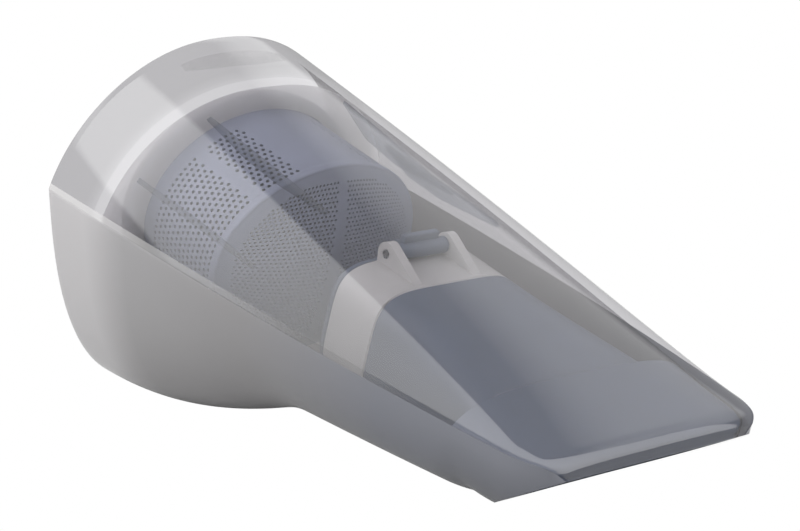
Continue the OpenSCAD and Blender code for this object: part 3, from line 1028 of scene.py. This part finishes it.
class BOWL_OT_filter(bpy.types.Operator):
    """Make the inner filter: its frame and the pleated cloth cup"""

    bl_idname = "bowl.filter"
    bl_label = "Filter Frame and Cloth"

    edge = 0.0005
    tip_round = 0.001
    tip_inset = 0.0006
    tip_wall = 0.0003
    tip_shares = (1.0, 0.97, 0.8, 0.5, 0.2, 0.02)

    def cloth(self, s):
        """Pleated cup: inset = start + depth (1 - cos(pleats a)) / 2, closed in front."""
        a = np.arange(s.pleats * 12) * 2 * np.pi / (s.pleats * 12)
        fold = s.pleat_h * (0.5 - 0.5 * np.cos(s.pleats * a))
        wall = s.cloth_t
        root = s.frame_x + s.flange_t + s.seat

        def ring(x, inset, share=1.0):
            """Folded ring at station x, drawn in to a share of its size."""
            yz = s.oval(a, s.cloth_side + inset + fold)
            return at_station(x, (yz - (0, s.cup_z)) * share + (0, s.cup_z))

        shares, end = self.tip_shares, s.cloth_end - wall
        outer = [ring(x, 0) for x in np.linspace(root, s.cloth_end - self.tip_round, 16)]
        outer += [ring(s.cloth_end, self.tip_inset, share) for share in shares]
        inner = [ring(end, wall + self.tip_wall, share) for share in shares[::-1]]
        inner += [ring(x, wall) for x in np.linspace(end - self.tip_round, root, 16)]
        points = np.stack(outer + inner)
        verts, faces = grid(points, close_path=True)
        n, k = len(a), len(outer)
        keep = np.ones(len(faces[0]), bool)
        keep[(k - 1) * n : k * n] = False
        tip = ((k - 1) * n + np.arange(n))[None, :]
        tip_inner = (k * n + np.arange(n))[::-1][None, :]
        return verts, [faces[0][keep], tip, tip_inner]

    def execute(self, context):
        s, looks = Form(context.scene), context.scene.finishes
        finish = moulded("frame_grey", looks.grey, 0.45)
        out, into = self.edge - s.flange_w, s.cloth_side + s.pleat_h + s.cloth_t
        ring = oval_ring(s, s.frame_x, s.frame_x + s.flange_t, out, into, self.edge)
        piece = add_mesh("filter_ring", s, [ring], [finish])
        stand_for(piece, "filter_frame")
        finish = woven_cloth("filter_cloth", looks.cloth)
        piece = add_mesh("pleated_cloth", s, [self.cloth(s)], [finish], sharp=60)
        stand_for(piece, "filter_cloth")
        return {"FINISHED"}


class BOWL_OT_stage(bpy.types.Operator):
    """Make the floor, the lights, the world and the camera"""

    bl_idname = "bowl.stage"
    bl_label = "Stage"

    azimuth = 48.69
    elevation = 10.48
    roll = -0.94
    distance = 0.7398
    aim = (0.00375, 0.00437, 0.05035)
    lens = 116.8
    tent_way = (0.79, -0.62, 0.249)
    tent_edge = (-0.01, 0.01)
    side_to_centre = (0.0, 0.28)
    centre_to_front = (0.4, 0.55)
    backdrop_foot = (0.42, 0.5)
    backdrop_top = (0.68, 0.78)
    # Levels of light from each part of the tent, the backdrop and the room.
    side = 2.5
    centre = 3.1
    front = 2.3
    backdrop = 1.3
    room = 0.35
    fill_place = (-0.5, -0.9, 0.9)
    fill_side = 0.9
    fill_watts = 10
    middle = (0, 0, 0.05)
    floor_half = 6.0
    floor_depth = 0.0002

    def turned(self, right, back, place):
        """Matrix of an object at a place, with its x axis to the right and its z axis back."""
        matrix = np.eye(4)
        matrix[:3] = np.stack([right, np.cross(back, right), back, place], -1)
        return Matrix(matrix.tolist())

    def camera(self, context):
        """Camera that looks from an azimuth and an elevation at the aim, turned by its roll."""
        data = bpy.data.cameras.new("camera")
        data.lens = self.lens
        data.sensor_width = 36
        data.clip_end = 20
        az, el, roll = (math.radians(v) for v in (self.azimuth, self.elevation, self.roll))
        back = np.array([math.cos(el) * math.sin(az), -math.cos(el) * math.cos(az), math.sin(el)])
        right = np.array([math.cos(az), math.sin(az), 0])
        right = math.cos(roll) * right + math.sin(roll) * np.cross(back, right)
        camera = bpy.data.objects.new("camera", data)
        context.scene.collection.objects.link(camera)
        camera.matrix_world = self.turned(right, back, np.array(self.aim) + back * self.distance)
        context.scene.camera = camera

    def lamp(self, context):
        """Softbox that faces the middle of the object and isn't mirrored in it."""
        data = bpy.data.lights.new("fill_softbox", "AREA")
        data.shape = "RECTANGLE"
        data.size = data.size_y = self.fill_side
        data.energy = self.fill_watts
        lamp = bpy.data.objects.new("fill_softbox", data)
        context.scene.collection.objects.link(lamp)
        back = np.array(self.fill_place) - self.middle
        back /= np.linalg.norm(back)
        right = np.cross([0, 0, 1.0], back)
        right /= np.linalg.norm(right)
        lamp.matrix_world = self.turned(right, back, self.fill_place)
        lamp.visible_glossy = False

    def white(self, name):
        """Floor: plain white to the eye, and grey paper that takes the shadow to all other rays."""
        f = Finish(name)
        paper = f.shades(f.noise(3.0), (0.29, 0.29, 0.29), (0.31, 0.31, 0.31))
        paper = f.first("ShaderNodeBsdfDiffuse", Color=paper)
        light = f.first("ShaderNodeEmission", Color=(1, 1, 1, 1), Strength=1.0)
        return f.done(f.mix(f.ray("Is Camera Ray"), paper, light))

    def sky(self, context):
        """World: plain white to the eye; to all other rays a tent, a backdrop and a dim room.

        The bright tent is where direction . tent_way > 0, and the backdrop hangs behind.
        """
        f = Finish("studio", "worlds", "Generated")
        room, up = self.room, (0, 0, 1)
        behind = f.along(up, *self.backdrop_foot, room, self.backdrop)
        behind = f.along(up, *self.backdrop_top, behind, room)
        way = np.array(self.tent_way) / np.linalg.norm(self.tent_way)
        tent = f.along(way, *self.side_to_centre, self.side, self.centre)
        tent = f.along(way, *self.centre_to_front, tent, self.front)
        tent = f.along(way, *self.tent_edge, behind, tent)
        strength = f.spread(f.ray("Is Camera Ray"), tent, 1.0)
        sky = f.first("ShaderNodeBackground", Color=(1, 1, 1, 1), Strength=strength)
        context.scene.world = f.done(sky, "ShaderNodeOutputWorld")

    def execute(self, context):
        scene = context.scene
        scene.view_settings.view_transform = "Standard"
        mesh = bpy.data.meshes.new("floor")
        half = self.floor_half
        square = ((-half, -half), (half, -half), (half, half), (-half, half))
        mesh.from_pydata([(x, y, -self.floor_depth) for x, y in square], [], [(0, 1, 2, 3)])
        mesh.materials.append(self.white("floor_paper"))
        floor = bpy.data.objects.new("floor", mesh)
        scene.collection.objects.link(floor)
        self.sky(context)
        self.lamp(context)
        self.camera(context)
        return {"FINISHED"}


class BOWL_PT_panel(bpy.types.Panel):
    """Sidebar panel that lists the pieces and their sizes"""

    bl_idname = "BOWL_PT_panel"
    bl_label = "Dust Bowl"
    bl_space_type = "VIEW_3D"
    bl_region_type = "UI"
    bl_category = "Dust Bowl"

    def draw(self, context):
        for operator in OPERATORS:
            self.layout.operator(operator.bl_idname)
        for group in ("bowl_sizes", "inner_sizes", "finishes"):
            box = self.layout.box()
            owner = getattr(context.scene, group)
            for key in type(owner).__annotations__:
                box.prop(owner, key)


GROUPS = {"bowl_sizes": BowlSizes, "inner_sizes": InnerSizes, "finishes": Finishes}
OPERATORS = (
    BOWL_OT_stage,
    BOWL_OT_shell,
    BOWL_OT_duct,
    BOWL_OT_collar,
    BOWL_OT_flap,
    BOWL_OT_pre_filter,
    BOWL_OT_filter,
)


def register():
    """Add the classes to Blender and the settings to its scenes."""
    for item in (*GROUPS.values(), *OPERATORS, BOWL_PT_panel):
        bpy.utils.register_class(item)
    for name, group in GROUPS.items():
        setattr(bpy.types.Scene, name, bpy.props.PointerProperty(type=group))


def unregister():
    """Take the settings and the classes away again."""
    for name in GROUPS:
        delattr(bpy.types.Scene, name)
    for item in (BOWL_PT_panel, *OPERATORS[::-1], *GROUPS.values()):
        bpy.utils.unregister_class(item)


def main():
    register()
    for operator in OPERATORS:
        getattr(bpy.ops.bowl, operator.bl_idname.split(".")[1])()


if __name__ == "__main__":
    main()
